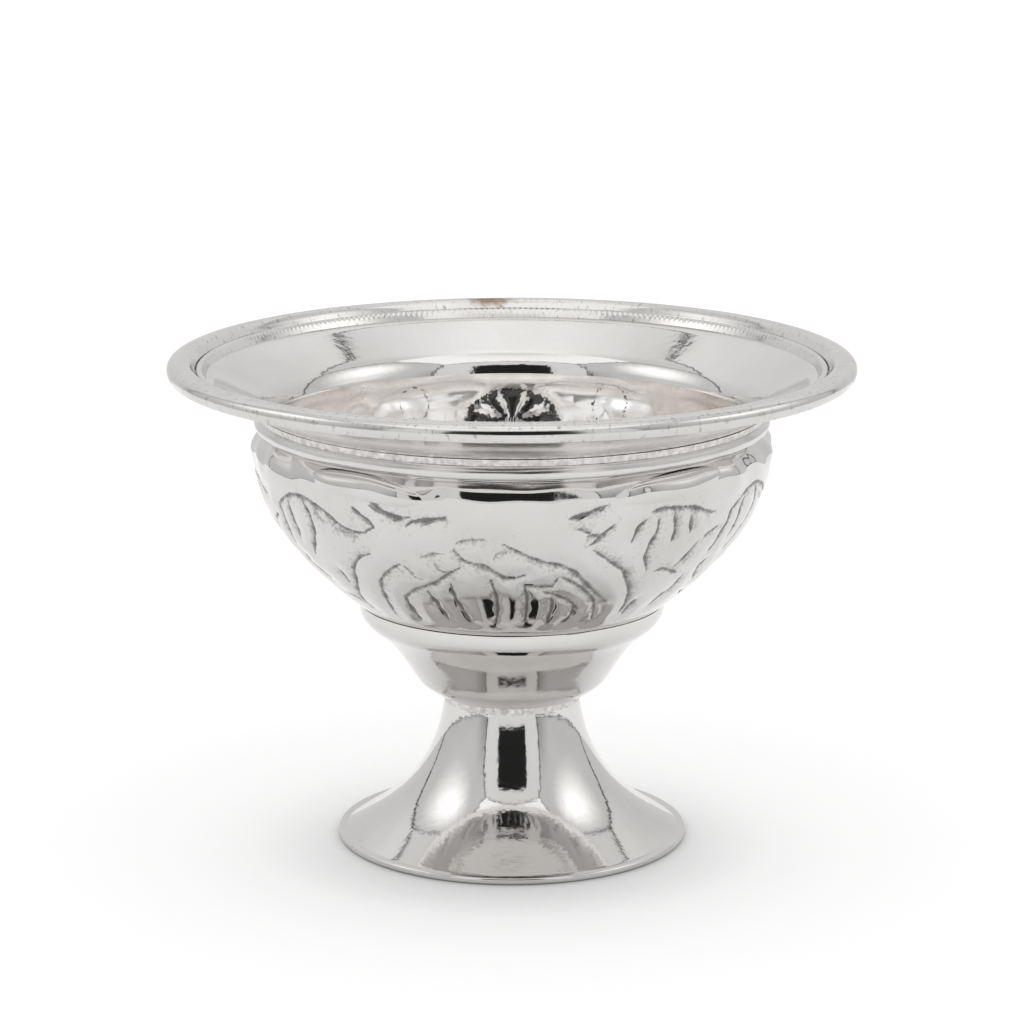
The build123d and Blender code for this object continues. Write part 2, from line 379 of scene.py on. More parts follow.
def chased_relief(outline, steps):
    """Depth, and tarnish with painted shade, of the chased lines and the hollows beside them, on the turned
    surface.
    """
    grid_azimuth = np.degrees(azimuths(steps))
    level = outline[:, 1]
    depths, tarnish, hollows = (np.zeros((len(outline), steps)) for layer in range(3))
    reach = cushion_reach * cushion_width
    spread = math.degrees(reach / narrowest)
    for places, heart, drawings, crisp, soft, depth, dirt in ornament:
        for place in places:
            middle = surface_points(heart[0] + place, heart[1], outline)
            for drawing in drawings:
                smooth = smooth_row(drawing)
                path = surface_points(smooth[:, 0] + place, smooth[:, 1], outline)
                left, bottom = smooth.min(axis=0)
                right, top = smooth.max(axis=0)
                first = math.floor((left + place - spread) / 360 * steps)
                last = math.ceil((right + place + spread) / 360 * steps)
                columns = np.arange(first, last + 1) % steps
                rows = np.nonzero((level > bottom - reach) & (level < top + reach))[0]
                window = np.ix_(rows, columns)
                spots = surface_points(grid_azimuth[None, columns], level[rows][:, None], outline)
                gap, run, nearest = distance_to_path(spots, path)
                inward = np.einsum("...i,...i", spots - nearest, middle - nearest) > 0
                share = taper + (1 - 2 * taper) * run / run.max()
                weight = np.sqrt(np.clip(np.sin(math.pi * share), 0, 1))
                weight = weight * (1 - wander + wander * np.sin(wander_pace * run + place + drawing[0][0]))
                width = np.where(inward, soft, crisp) * weight
                stroke = np.exp(-(gap / width) ** 2)
                # painted shade: a soft darkening on the heart side of each line, added to the tarnish and
                # painted reflection in the line itself
                smudge = np.where(inward, np.exp(-gap / (smudge_reach * soft)), 0) * weight
                dark = dirt * np.maximum(stroke, smudge_share * smudge)
                hollow = np.exp(-(gap / cushion_width) ** 2)
                depths[window] = np.maximum(depths[window], depth * weight * stroke)
                tarnish[window] = np.maximum(tarnish[window], dark)
                hollows[window] = np.maximum(hollows[window], hollow)
    return depths, tarnish, hollows


def distance_to_path(spots, path):
    """Distance of each spot from a path, how far along the path its nearest point lies, and that point."""
    best = np.full(spots.shape[:-1], np.inf)
    run = np.zeros(spots.shape[:-1])
    nearest = np.zeros(spots.shape)
    travelled = 0.0
    for start, end in zip(path[:-1], path[1:]):
        step = end - start
        length = np.linalg.norm(step)
        share = np.clip((spots - start) @ step / length**2, 0, 1)
        foot = start + share[..., None] * step
        gap = np.linalg.norm(spots - foot, axis=-1)
        closer = gap < best
        best = np.where(closer, gap, best)
        run = np.where(closer, travelled + share * length, run)
        nearest = np.where(closer[..., None], foot, nearest)
        travelled += length
    return best, run, nearest


# Hammered shoulder: uneven blows, on them leaves, bells and dents, and an open flower at the back
shoulder_level = 47.6
shoulder_spread = 1.7
blow_depth = 0.11
# Each set of blows: number in a turn, size and number of swings in the spacing, slant, start, share
blow_sets = ((23, 1.4, 5, 0.8, 0, 1), (14, 2, 3, -0.9, 1, 0.8))
calm_spread = 0.28          # half angle of the calmer front of the shoulder, in radians
calm_share = 0.8            # share of the blows that is missing there
leaf_places = (36, -33, 158, -160)
leaf_half_length = 14       # in degrees
leaf_half_height = 1.5
leaf_lean = 0.04            # rise of a leaf away from the front, in millimetres for each degree
leaf_rise = 0.62
leaf_crown = 0.8            # power that rounds a leaf's top
bell_places = (55, -65)     # low bells above the tulips
bell_level = 47.2
bell_half_height = 2.8
bell_half_width = 10        # in degrees
bell_rise = 0.32
bell_crown = 1.4
rib_depth = 0.3             # ribs of the bells
rib_half_waves = 1.7        # number of half waves in a bell's half width
rib_slant = 0.5
# Dents and dimples: azimuth, level and radius of each
dents = ((-14.5, 47.6, 0.9), (-20.5, 47.9, 1.3), (28, 47.5, 1.1), (112, 47.6, 1.2), (-118, 47.7, 1.1))
dent_depth = 0.11
dimples = ((156, 46.1, 1.9), (-156, 46.3, 1.6))
dimple_rise = 0.3
dimple_tarnish = 0.52       # painted shade in the ring round a dimple, on the inside
dimple_ring = 1.2           # radius of that ring and half its width, in radii of the dimple
dimple_ring_half = 0.16
lotus_place = 180           # open flower, pushed out from inside
lotus_level = 43.7
lotus_height = 4.0
lotus_half_width = 6.2
lotus_edge = 0.05           # softness of the flower's edge, as a share of its size
lotus_rise = 0.55
lotus_ridges = (24, 62, 118, 156)
ridge_half = 9              # half width of the ridges between petals, in degrees
ridge_length = 0.9          # as a share of the flower's size


def turn_from(place, angle):
    """Turn from a place to each angle, in degrees from -180 to 180."""
    return (np.degrees(angle) - place + 180) % 360 - 180


def way_round(place, angle):
    """Distance round the belly from a place to each angle, in millimetres."""
    return turn_from(place, angle) * math.radians(1) * belly_radius


def hammered_shoulder(outline, steps):
    """Height of the lumps on the bowl's shoulder, and the painted dark of the flower and of the rings round
    the dimples, on the turned surface.
    """
    angle = azimuths(steps)[None, :]
    height = outline[:, 1][:, None]
    up = height - shoulder_level
    blows = 0
    for number, swing, swings, slant, start, share in blow_sets:
        blows = blows + share * np.sin(number * angle + swing * np.sin(swings * angle) + slant * up + start)
    calm = 1 - calm_share * np.exp(-(np.radians(turn_from(0, angle)) / calm_spread) ** 4)
    lumps = blow_depth * calm * np.exp(-(up / shoulder_spread) ** 2) * blows
    for place in leaf_places:
        turn = turn_from(place, angle)
        lean = up - leaf_lean * turn * np.sign(place)
        inside = 1 - (turn / leaf_half_length) ** 2 - (lean / leaf_half_height) ** 2
        lumps = lumps + leaf_rise * np.clip(inside, 0, None) ** leaf_crown
    for place in bell_places:
        turn = turn_from(place, angle) / bell_half_width
        inside = 1 - turn**2 - ((height - bell_level) / bell_half_height) ** 2
        ribs = 1 + rib_depth * np.cos(rib_half_waves * math.pi * turn + rib_slant * (height - bell_level))
        lumps = lumps + bell_rise * ribs * np.clip(inside, 0, None) ** bell_crown
    for place, level, radius in dents:
        far = np.hypot(way_round(place, angle), height - level) / radius
        lumps = lumps - dent_depth * np.exp(-far**2)
    flower, petals = back_flower(angle, height)
    return lumps + flower, petals


def back_flower(angle, height):
    """Height of the open flower at the back of the bowl and of the dimples beside it, with painted
    reflection in its petals and painted shade round the dimples.
    """
    across = way_round(lotus_place, angle)
    up = height - lotus_level
    from_root = np.hypot(across / lotus_half_width, up / lotus_height)
    heading = np.degrees(np.arctan2(up, across))
    petals = 1 / (1 + np.exp((from_root - 1) / lotus_edge)) * (up > 0)
    for ridge in lotus_ridges:
        petals = petals * (1 - np.exp(-((heading - ridge) / ridge_half) ** 2) * (from_root < ridge_length))
    flower = lotus_rise * petals * np.clip(up / lotus_height, 0, 1)
    for place, level, radius in dimples:
        far = np.hypot(way_round(place, angle), height - level) / radius
        flower = flower + dimple_rise * np.exp(-far**2)
        petals = petals + dimple_tarnish * np.exp(-((far - dimple_ring) / dimple_ring_half) ** 2)
    return flower, petals


# Pieces

turn_steps = 360
spun_hand = 0.006           # unevenness of the foot, in millimetres
plain_hand = 0.012          # that of most other pieces
rough_hand = 0.02           # that of chased metal and of the stem solder


def foot_wire_mesh():
    """Flat ring with rounded outer edges that the bowl stands on."""
    inner = foot_radius - wire_width
    low_centre = (foot_radius - wire_round, wire_bottom + wire_round)
    high_centre = (foot_radius - wire_round, wire_top - wire_round)
    outline = chain(
        line((inner, wire_top), (inner, wire_bottom), 4),
        line((inner, wire_bottom), (low_centre[0], wire_bottom), 6),
        arc(low_centre, (wire_round, wire_round), 270, 90, 6),
        line((foot_radius, low_centre[1]), (foot_radius, high_centre[1]), 3),
        arc(high_centre, (wire_round, wire_round), 0, 90, 6),
        line((high_centre[0], wire_top), (inner, wire_top), 10),
    )[:-1]
    return turned("foot_wire", outline, turn_steps, wobble(outline, turn_steps, spun_hand, (3, 7, 19)))


def pedestal_foot_mesh():
    """Hollow trumpet between the foot wire and the cup."""
    end = (stem_radius, cup_level)
    stem = ahead(end, stem_heading, -stem_land)
    front = chain(
        curve((trumpet_radius, wire_top), foot_spread, foot_spread_pull, stem, stem_heading, stem_pull, 90),
        line(stem, end, 6),
    )
    outline = np.concatenate([front, sheet_back(front)])
    outline[:, 1] = np.clip(outline[:, 1], wire_top, cup_level)
    shift = wobble(outline, turn_steps, spun_hand, (2, 5))
    return turned("pedestal_foot", outline, turn_steps, shift)


stem_solder_run = 1.0       # how far the solder runs down the stem
stem_solder_leg = 0.18      # and out under the cup


def stem_solder_mesh():
    """Rough ring of solder under the cup, around the end of the stem."""
    steps = 720
    face_rows = slice(3, 10)
    corner = (stem_radius, cup_level)
    out = ahead(corner, 0, stem_solder_leg)
    down = ahead(corner, stem_heading, -stem_solder_run)
    outline = chain(line(corner, down, 2), line(down, out, 8), line(out, corner, 2))[:-1]
    rough = wobble(outline, steps, rough_hand, (53, 89, 151, 211, 307))
    return turned("stem_solder", outline, steps, only_rows(rough, face_rows))


def lower_cup_mesh():
    """Cup with a flat floor, a flared side and a rounded band that the bowl sits in."""
    floor_end = (stem_solder_radius, cup_level)
    centre = (floor_end[0], cup_level + cup_round)
    side_start = ahead(centre, cup_low_heading - 90, cup_round)
    band = (band_radius, band_bulge_level)
    side_pull = (cup_bulge[1] - cup_level) / 3
    band_pull = (band_bulge_level - cup_throat[1]) / 2
    bulge = (cup_bulge, cup_bulge_heading)
    throat = (cup_throat, cup_throat_heading)
    front = chain(
        line((0, cup_level), floor_end, 12),
        arc(centre, (cup_round, cup_round), 270, cup_low_heading, 10),
        curve(side_start, cup_low_heading, side_pull, *bulge, side_pull, 16),
        curve(*bulge, cup_bulge_pull, *throat, cup_throat_pull, 40),
        curve(*throat, band_pull / 2, band, 90, band_pull, 24),
        line(band, (band_radius, lip_level), 3),
    )
    back = sheet_back(front)
    seat_slope = math.tan(math.radians(bowl_seat_heading))
    lip_slope = lip_level - (band_radius - back[:, 0]) * seat_slope
    back[:, 1] = np.where(back[:, 0] > cup_throat[0], np.minimum(back[:, 1], lip_slope), back[:, 1])
    back[-1, 0] = 0
    outline = np.concatenate([front, back])
    shift = wobble(outline, turn_steps, plain_hand, (3, 7, 11))
    shift[[0, -1]] = 0
    return turned("lower_cup", outline, turn_steps, shift)


fade_height = 1.2           # the work fades in over this height above the seat
even_rows = 3               # rows at the mouth that have no work
mouth_rows = 12             # rows of the inside near the mouth, of which every second one is kept
bottom_rows = 8             # the same at the bottom
print_gain = 1.1            # height of the print inside, as a share of the work outside
print_margin = 1.0          # how far the print stays away from the seat and from the mouth
print_fade = 2.0            # height over which it fades in
print_lines = 0.6           # depth of the lines in the print, as a share of that outside
# tarnish with painted shade in the hollows beside the chased lines
hollow_tarnish = 0.12


def chased_bowl_mesh():
    """Bowl with chased ornament outside and its softer print inside."""
    steps = 1200
    seat = (band_radius, seat_level)
    belly = (belly_radius, belly_level)
    crease_centre = (mouth_radius + crease_round, crease_level)
    crease_start = ahead(crease_centre, 180 + crease_lean, crease_round)
    bottom = (0, bowl_bottom)
    hidden = curve(bottom, 0, bowl_bottom_pull, seat, bowl_seat_heading, bowl_bottom_end_pull, 7)
    side = curve(seat, bowl_seat_heading, bowl_seat_pull, belly, 90, belly_pull, 100)
    shoulder = curve(belly, 90, shoulder_pull, crease_start, 90 + crease_lean, crease_pull, 20)
    crease = arc(crease_centre, (crease_round, crease_round), 180 + crease_lean, -crease_lean, 4)
    mouth = line((mouth_radius, crease_level), (mouth_radius, mouth_level), 4)
    front = chain(hidden, side, shoulder, crease, mouth)
    back = sheet_back(front)
    bottom_row = len(back) - bottom_rows
    near_mouth = range(0, mouth_rows, 2)
    between_them = range(mouth_rows, bottom_row, 3)
    back = back[[*near_mouth, *between_them, *range(bottom_row, len(back), 2), -1]]
    back[-1, 0] = 0
    outline = np.concatenate([front, back])
    shown = slice(len(hidden), len(front) - even_rows)
    outside = front[shown]
    lines, tarnish, hollows = chased_relief(outside, steps)
    lumps, petals = hammered_shoulder(outside, steps)
    hand = wobble(outside, steps, rough_hand, (5, 8, 13))
    fade = np.clip((outside[:, 1] - seat_level) / fade_height, 0, 1)[:, None]
    swell = lumps + hand - cushion_depth * hollows
    level = back[:, 1]
    above_seat = level - seat_level - print_margin
    print_share = print_gain * np.clip(above_seat / print_fade, 0, 1) * (level < mouth_level - print_margin)
    facing_rows = [int(np.abs(outside[:, 1] - height).argmin()) for height in level]
    pushed = fade * (swell - print_lines * lines)
    shift, recess, inner = (np.zeros((len(outline), steps)) for layer in range(3))
    shift[shown] = fade * (swell - lines)
    shift[len(front):] = -print_share[:, None] * pushed[facing_rows]
    # outside: tarnish with painted shade in and beside the lines, and in the hollows
    recess[shown] = tarnish + hollow_tarnish * hollows
    # inside: painted dark reflection in the flower's petals and painted shade round the dimples
    recess[len(front):] = petals[facing_rows] * (print_share > 0)[:, None]
    inner[len(front):] = 1
    mesh = turned("chased_bowl", outline, steps, shift, sharp_angle=75)
    keep_values(mesh, "recess", recess)
    keep_values(mesh, "inner", inner)
    return mesh


def neck_ring_mesh():
    """Low half-round wire around the bowl's mouth."""
    land_end = ring_inside + ring_land
    half = (ring_level - ring_bottom) / 2
    bulge = ring_radius - land_end
    curvature = (half**2 + bulge**2) / (2 * bulge)
    spread = math.degrees(math.asin(half / curvature))
    middle = (ring_radius - curvature, ring_bottom + half)
    outline = chain(
        line((ring_inside, ring_level), (ring_inside, ring_bottom), 3),
        line((ring_inside, ring_bottom), (land_end, ring_bottom), 2),
        arc(middle, (curvature, curvature), -spread, 2 * spread, 20),
        line((land_end, ring_level), (ring_inside, ring_level), 2),
    )[:-1]
    shift = wobble(outline, turn_steps, plain_hand, (4, 9, 23))
    return turned("neck_ring", outline, turn_steps, shift)


solder_start = 0.3          # start of the neck solder, along the bend of the neck
solder_end = 0.6            # end of the neck solder, along the cone of the flare


def land_point(distance, rise):
    """Point on the rim's land: distance inward from its edge and rise above its underside."""
    inward = ahead((edge_radius, rim_level), land_angle, -distance)
    return ahead(inward, land_angle + 90, rise)


def flare_underside():
    """Under line of the rim in five stretches: neck, bend, cone, fold and land."""
    neck_start = (neck_radius, neck_end + neck_land)
    bend_centre = (neck_radius + neck_bend, neck_start[1])
    land_start = land_point(land_width, 0)
    fold_centre = ahead(land_start, land_angle - 90, land_fold)
    run = fold_centre[0] - bend_centre[0]
    climb = fold_centre[1] - bend_centre[1]
    steeper = math.asin((land_fold - neck_bend) / math.hypot(run, climb))
    cone_angle = math.degrees(math.atan2(climb, run) + steeper)
    bend = arc(bend_centre, (neck_bend, neck_bend), 180, cone_angle - 90, 16)
    fold = arc(fold_centre, (land_fold, land_fold), cone_angle + 90, land_angle - cone_angle, 10)
    return [
        line((neck_radius, neck_end), neck_start, 3),
        bend,
        line(bend[-1], fold[0], 30),
        fold,
        line(land_start, (edge_radius, rim_level), 16),
    ]


underside_matt = 0.1        # roughness that the unpolished underside of the rim adds; the underside's colour is also painted lighter
throat_bend = 4.0           # radius of the bend on the upper side of the rim
neck_rows = 5               # rows at both ends of the outline, in the neck, that stay even


def flared_rim_mesh():
    """Neck that bends out into a cone with a straight land for the border."""
    stretches = flare_underside()
    front = chain(*stretches)
    run, climb = stretches[2][-1] - stretches[2][0]
    slope = math.atan2(climb, run)
    inside = neck_radius - sheet
    meet = inside + throat_bend * (1 - math.sin(slope))
    upper = sheet_back(front)
    upper = upper[upper[:, 0] > meet]
    meet_level = upper[-1, 1] - (upper[-1, 0] - meet) * math.tan(slope)
    centre = (inside + throat_bend, meet_level - throat_bend * math.cos(slope))
    start = 90 + math.degrees(slope)
    end = 180 - math.degrees(math.asin((neck_end - centre[1]) / throat_bend))
    throat = arc(centre, (throat_bend, throat_bend), start, end - start, 24)
    outline = np.concatenate([front, upper, throat])
    rows = np.arange(len(outline))
    flare_rows = (rows >= neck_rows) & (rows <= len(outline) - neck_rows)
    shift = only_rows(wobble(outline, turn_steps, plain_hand, (2, 5, 7)), flare_rows)
    mesh = turned("flared_rim", outline, turn_steps, shift)
    # the underside gets added roughness and a painted lighter colour
    keep_values(mesh, "matt", np.repeat(np.where(rows < len(front), underside_matt, 0), turn_steps))
    return mesh


def point_along(path, distance):
    """The point at a distance along a row of points."""
    run = np.concatenate([[0], np.cumsum(np.linalg.norm(np.diff(path, axis=0), axis=1))])
    return np.array([np.interp(distance, run, path[:, axis]) for axis in (0, 1)])


def neck_solder_mesh():
    """Rough solder between the top of the neck ring and the underside of the flare."""
    steps = 1440
    face_rows = slice(6, 15)
    bend, cone = (stretch + outward(stretch, False) * solder_gap for stretch in flare_underside()[1:3])
    start = point_along(bend, solder_start)
    end = point_along(cone, solder_end)
    inner = (ring_inside, ring_level)
    outer = (ring_inside + ring_land, ring_level)
    outline = chain(
        line(start, inner, 3),
        line(inner, outer, 2),
        line(outer, end, 10),
        line(end, start, 5),
    )[:-1]
    rough = wobble(outline, steps, plain_hand, (97, 151, 263, 401))
    return turned("neck_solder", outline, steps, only_rows(rough, face_rows))


bead_count = 330
bead_foot = 0.55            # how far the solder under the beads runs inward, in millimetres
bead_turn = 130             # how far the round top of the wire goes, in degrees
bead_notch = 0.22           # depth between two beads, as a share of the wire's half height


def bead_wire_mesh():
    """Beaded wire just inside the border, on a low fillet of solder."""
    steps = bead_count * 6
    half = (bead_top - bead_bottom) / 2
    centre = (bead_reach - half, bead_bottom + half)
    outer_foot = (bead_reach, bead_bottom + half / 4)
    inner_foot = land_point(border_seat + 2 * half + bead_foot, sheet)
    top = arc(centre, (half, half), 0, bead_turn, 9)
    outline = chain(
        line(outer_foot, top[0], 2),
        top,
        line(top[-1], inner_foot, 4),
        line(inner_foot, outer_foot, 4),
    )[:-1]
    beads = np.abs(np.cos(bead_count * azimuths(steps) / 2))
    on_top = np.clip((outline[:, 1] - centre[1]) / half, 0, 1)[:, None]
    shift = -bead_notch * half * on_top * (1 - beads)[None, :]
    return turned("bead_wire", outline, steps, shift, sharp_angle=80)


tick_count = 138
tick_middle = 38.2          # radius of the middle of the ticks
tick_half = 0.5             # half the length of a tick
tick_depth = 0.02
tick_edge = 0.8             # level of the ticks' wave where a cut begins
tick_swings = ((0.9, 9), (0.7, 23))     # size and number of the swings in their spacing
tick_strength = 0.45        # mean strength of the ticks, and how far it changes
tick_change = 0.6
tick_changes = (7, 17)      # numbers of the changes in a turn
seat_rows = 9               # rows of the border's hidden sides


def rim_border_mesh():
    """Rounded moulding round the rim, with short ticks punched along its inner slope."""
    steps = tick_count * 12
    wall = edge_radius + solder_gap
    inner_foot = land_point(border_seat, sheet + solder_gap)
    corner_run = (wall - land_point(0, sheet + solder_gap)[0]) / math.cos(math.radians(land_angle))
    corner = land_point(-corner_run, sheet + solder_gap)
    inner_step = (inner_foot[0], inner_foot[1] + border_step)
    wall_foot = (wall, rim_level)
    ridge = (rim_radius - border_ridge_inset, ridge_level)
    widest = (rim_radius, rim_level + border_lip_height)
    lip = (wall + border_lip / 4, rim_level)
    lip_pull = border_lip / 2
    bevel_heading = 180 + border_bevel
    outline = chain(
        line(inner_foot, corner, 4),
        line(corner, wall_foot, 3),
        line(wall_foot, lip, 2),
        curve(lip, 0, lip_pull, widest, 90, lip_pull, 7),
        curve(widest, 90, border_outer_pull, ridge, 180, border_outer_pull, 18),
        curve(ridge, 180, border_bevel_pull, inner_step, bevel_heading, border_bevel_pull, 12),
        line(inner_step, inner_foot, 3),
    )[:-1]
    off_middle = (outline[:, 0] - tick_middle)[:, None]
    angle = azimuths(steps)[None, :]
    leaning = angle + off_middle / tick_middle
    spacing = sum(size * np.sin(number * angle) for size, number in tick_swings)
    cut = np.clip((np.cos(tick_count * leaning + spacing) - tick_edge) / (1 - tick_edge), 0, 1)
    change = np.sin(tick_changes[0] * angle + 1) * np.sin(tick_changes[1] * angle)
    strength = np.clip(tick_strength + tick_change * change, 0, 1)
    length = np.exp(-(off_middle / tick_half) ** 4) * (outline[:, 1] > widest[1])[:, None]
    ticks = tick_depth * length * cut * strength
    shift = wobble(outline, steps, plain_hand, (3, 8, 17)) - ticks
    shift[:seat_rows] = 0
    mesh = turned("rim_border", outline, steps, shift, sharp_angle=60)
    keep_values(mesh, "recess", ticks / tick_depth)
    return mesh


# Materials

def new_material(name):
    """Material with its node tree and its shader."""
    material = bpy.data.materials.new(name)
    material.use_nodes = True
    tree = material.node_tree
    return material, tree, tree.nodes["Principled BSDF"]


def set_inputs(tree, node, inputs):
    """Inputs of a node set to values or linked to sockets."""
    for name, value in inputs.items():
        if isinstance(value, bpy.types.NodeSocket):
            tree.links.new(value, node.inputs[name])
        else:
            node.inputs[name].default_value = value


def add_node(tree, kind, inputs=None, **settings):
    """Node of a kind with its settings and its inputs."""
    node = tree.nodes.new("ShaderNode" + kind)
    for name, value in settings.items():
        setattr(node, name, value)
    set_inputs(tree, node, inputs or {})
    return node


def maths(tree, operation, *values):
    """Result of an operation on numbers."""
    return add_node(tree, "Math", dict(enumerate(values)), operation=operation).outputs[0]


def vector_maths(tree, operation, *values):
    """Result of an operation on vectors."""
    return add_node(tree, "VectorMath", dict(enumerate(values)), operation=operation).outputs[0]


def far_from(tree, place, centre, operation, scale):
    """Distance from a centre, after an operation with a scale for each axis."""
    scaled = vector_maths(tree, operation, vector_maths(tree, "SUBTRACT", place, centre), scale)
    return add_node(tree, "VectorMath", {0: scaled}, operation="LENGTH").outputs["Value"]


def off_middle_plane(tree, place):
    """Distance to the left or right of the bowl's middle plane."""
    return maths(tree, "ABSOLUTE", add_node(tree, "SeparateXYZ", {0: place}).outputs[0])


def noise(tree, place, scale, detail=3.0, roughness=0.5):
    """Soft noise from 0 to 1 at a place."""
    values = {"Vector": place, "Scale": scale, "Detail": detail, "Roughness": roughness}
    return add_node(tree, "TexNoise", values).outputs["Fac"]


def between(tree, value, low, high, to_low=0, to_high=1, **settings):
    """Value spread from one range to another, and held at its ends."""
    values = {"Value": value, "From Min": low, "From Max": high, "To Min": to_low, "To Max": to_high}
    return add_node(tree, "MapRange", values, **settings).outputs["Result"]


def blend(tree, share, first, second):
    """Colour between two, by a share from 0 to 1."""
    return add_node(tree, "Mix", {0: share, 6: first, 7: second}, data_type="RGBA").outputs[2]


def mix(tree, share, first, second):
    """Number between two, by a share from 0 to 1."""
    return add_node(tree, "Mix", {0: share, 2: first, 3: second}, data_type="FLOAT").outputs[0]


def bump(tree, height, strength, depth, **other_inputs):
    """Normal of a surface with small lumps of a depth in metres."""
    values = {"Height": height, "Strength": strength, "Distance": depth, **other_inputs}
    return add_node(tree, "Bump", values).outputs["Normal"]


def stored(tree, name):
    """Number that the mesh keeps under a name."""
    return add_node(tree, "Attribute", attribute_name=name).outputs["Fac"]


def bright(level, warmth=0.02):
    """Silver of a brightness, a little warmer than grey."""
    return (level, level * (1 - warmth / 2), level * (1 - warmth), 1)


def body_place(tree):
    """Place on the object, in metres."""
    return add_node(tree, "TexCoord").outputs["Object"]


def layout_place(tree, round_scale, along_scale):
    """Place in the layout of a turned piece, scaled round the piece and along its outline."""
    layout = add_node(tree, "UVMap", uv_map="OFBake").outputs["UV"]
    values = {"Vector": layout, "Scale": (round_scale, along_scale, 1)}
    return add_node(tree, "Mapping", values).outputs["Vector"]


def clouded(tree, clouds, light, dark):
    """Colour that goes from a light one to a dark one in faint clouds."""
    return blend(tree, between(tree, clouds, 0.35, 0.7), light, dark)


# colour of the tarnish with painted shade in the chased lines outside
outer_tarnish = bright(0.13, 0.06)
# colour of the painted reflection and shade inside
inner_tarnish = bright(0.07, 0.05)
inner_stain = (0.62, 0.56, 0.49, 1)
stain_start = 0.016         # how far from the middle plane the inside begins to turn brown and is fully brown, in metres
stain_full = 0.027
tick_dirt = bright(0.2, 0.1)
nick_dirt = bright(0.22, 0.08)
spot_brown = (0.22, 0.13, 0.07, 1)
spot_centre = (-3.0 / metre, 37.6 / metre, (ridge_level - 0.2) / metre)
spot_scale = (0.35, 1, 1)   # the spot is longer along the border
spot_core = 0.0004          # where the spot begins to fade and where it ends, in metres
spot_end = 0.0016


def polished_silver(name, ring_gloss):
    """Hand polished sheet with faint clouds, lathe rings and a slight ripple of the hammer."""
    material, tree, shader = new_material(name)
    place = body_place(tree)
    clouds = noise(tree, place, scale=90, detail=4)
    rings = noise(tree, layout_place(tree, 0.6, 260), scale=1.0, detail=2.0)
    ripple = noise(tree, place, scale=1000, detail=3)
    tone = clouded(tree, clouds, bright(0.69, 0.04), bright(0.64, 0.05))
    matt = stored(tree, "matt")
    # painted light: the rim's underside is made lighter, besides the roughness of its unpolished finish
    whitened = blend(tree, between(tree, matt, 0, underside_matt), tone, bright(0.93, 0.03))
    gloss = maths(tree, "ADD", between(tree, rings, 0.3, 0.75, *ring_gloss), matt)
    fine = bump(tree, rings, 0.05, 0.00003)
    normal = bump(tree, ripple, 0.7, 0.00002, Normal=fine)
    set_inputs(tree, shader, {"Base Color": whitened, "Roughness": gloss, "Metallic": 1, "Normal": normal})
    return material


def chased_silver():
    """Polished outside with grey tarnish and painted shade in the chased lines, and a pickled matt inside
    with painted dark in its flower and round its dimples.
    """
    material, tree, shader = new_material("chased_silver")
    place = body_place(tree)
    clouds = noise(tree, place, scale=110, detail=4)
    grain = noise(tree, place, scale=900, detail=5, roughness=0.65)
    specks = noise(tree, place, scale=2600, detail=3, roughness=0.6)
    patches = between(tree, noise(tree, place, scale=160, detail=6, roughness=0.6), 0.4, 0.62)
    inner = stored(tree, "inner")
    silver = clouded(tree, clouds, bright(0.66, 0.04), bright(0.61, 0.05))
    grain_level = between(tree, grain, 0.3, 0.7, -0.18, 0.18)
    speck_level = between(tree, specks, 0.35, 0.65, -0.22, 0.22)
    mottled = maths(tree, "ADD", stored(tree, "recess"), maths(tree, "ADD", grain_level, speck_level))
    # painted shade: the lines and the hollows beside them darken towards the tarnish colour
    outside = blend(tree, between(tree, mottled, 0.25, 1.1, 0, 0.88), silver, outer_tarnish)
    pickled = blend(tree, patches, bright(0.92, 0.05), bright(0.99, 0.02))
    cloud_share = between(tree, clouds, 0.3, 0.7, 0.7, 1.3)
    aside = maths(tree, "MULTIPLY", off_middle_plane(tree, place), cloud_share)
    stained = blend(tree, between(tree, aside, stain_start, stain_full, 0, 0.7), pickled, inner_stain)
    # painted reflection and shade inside: the petals and the dimple rings darken
    oxidised = blend(tree, between(tree, mottled, 0.42, 0.62), stained, inner_tarnish)
    outer_gloss = between(tree, mottled, 0.3, 1, 0.06, 0.4)
    inner_gloss = between(tree, patches, 0, 1, 0.2, 0.08)
    frosted = between(tree, patches, 0, 1, 0.45, 0.75)
    set_inputs(tree, shader, {
        "Base Color": blend(tree, inner, outside, oxidised),
        "Roughness": mix(tree, inner, outer_gloss, inner_gloss),
        "Metallic": mix(tree, inner, 1.0, frosted),
        "Normal": bump(tree, grain, 0.2, 0.00003),
    })
    return material


def milled_silver():
    """Rolled wire with dark ticks and nicks, and one brown spot at the back of the border."""
    material, tree, shader = new_material("milled_silver")
    place = body_place(tree)
    clouds = noise(tree, place, scale=140, detail=4)
    silver = clouded(tree, clouds, bright(0.67, 0.04), bright(0.62, 0.05))
    ticked = blend(tree, between(tree, stored(tree, "recess"), 0.2, 0.9, 0, 0.6), silver, tick_dirt)
    across = noise(tree, layout_place(tree, 420, 7), scale=1.0, detail=4, roughness=0.6)
    nicked = blend(tree, between(tree, across, 0.57, 0.72, 0, 0.7), ticked, nick_dirt)
    far = far_from(tree, place, spot_centre, "MULTIPLY", spot_scale)
    edge = between(tree, noise(tree, place, scale=900, detail=4), 0.3, 0.7, 0.6, 1.7)
    ragged = maths(tree, "MULTIPLY", far, edge)
    spotted = blend(tree, between(tree, ragged, spot_core, spot_end, 0.85, 0), nicked, spot_brown)
    gloss = between(tree, clouds, 0.3, 0.7, 0.08, 0.18)
    set_inputs(tree, shader, {"Base Color": spotted, "Roughness": gloss, "Metallic": 1})
    return material


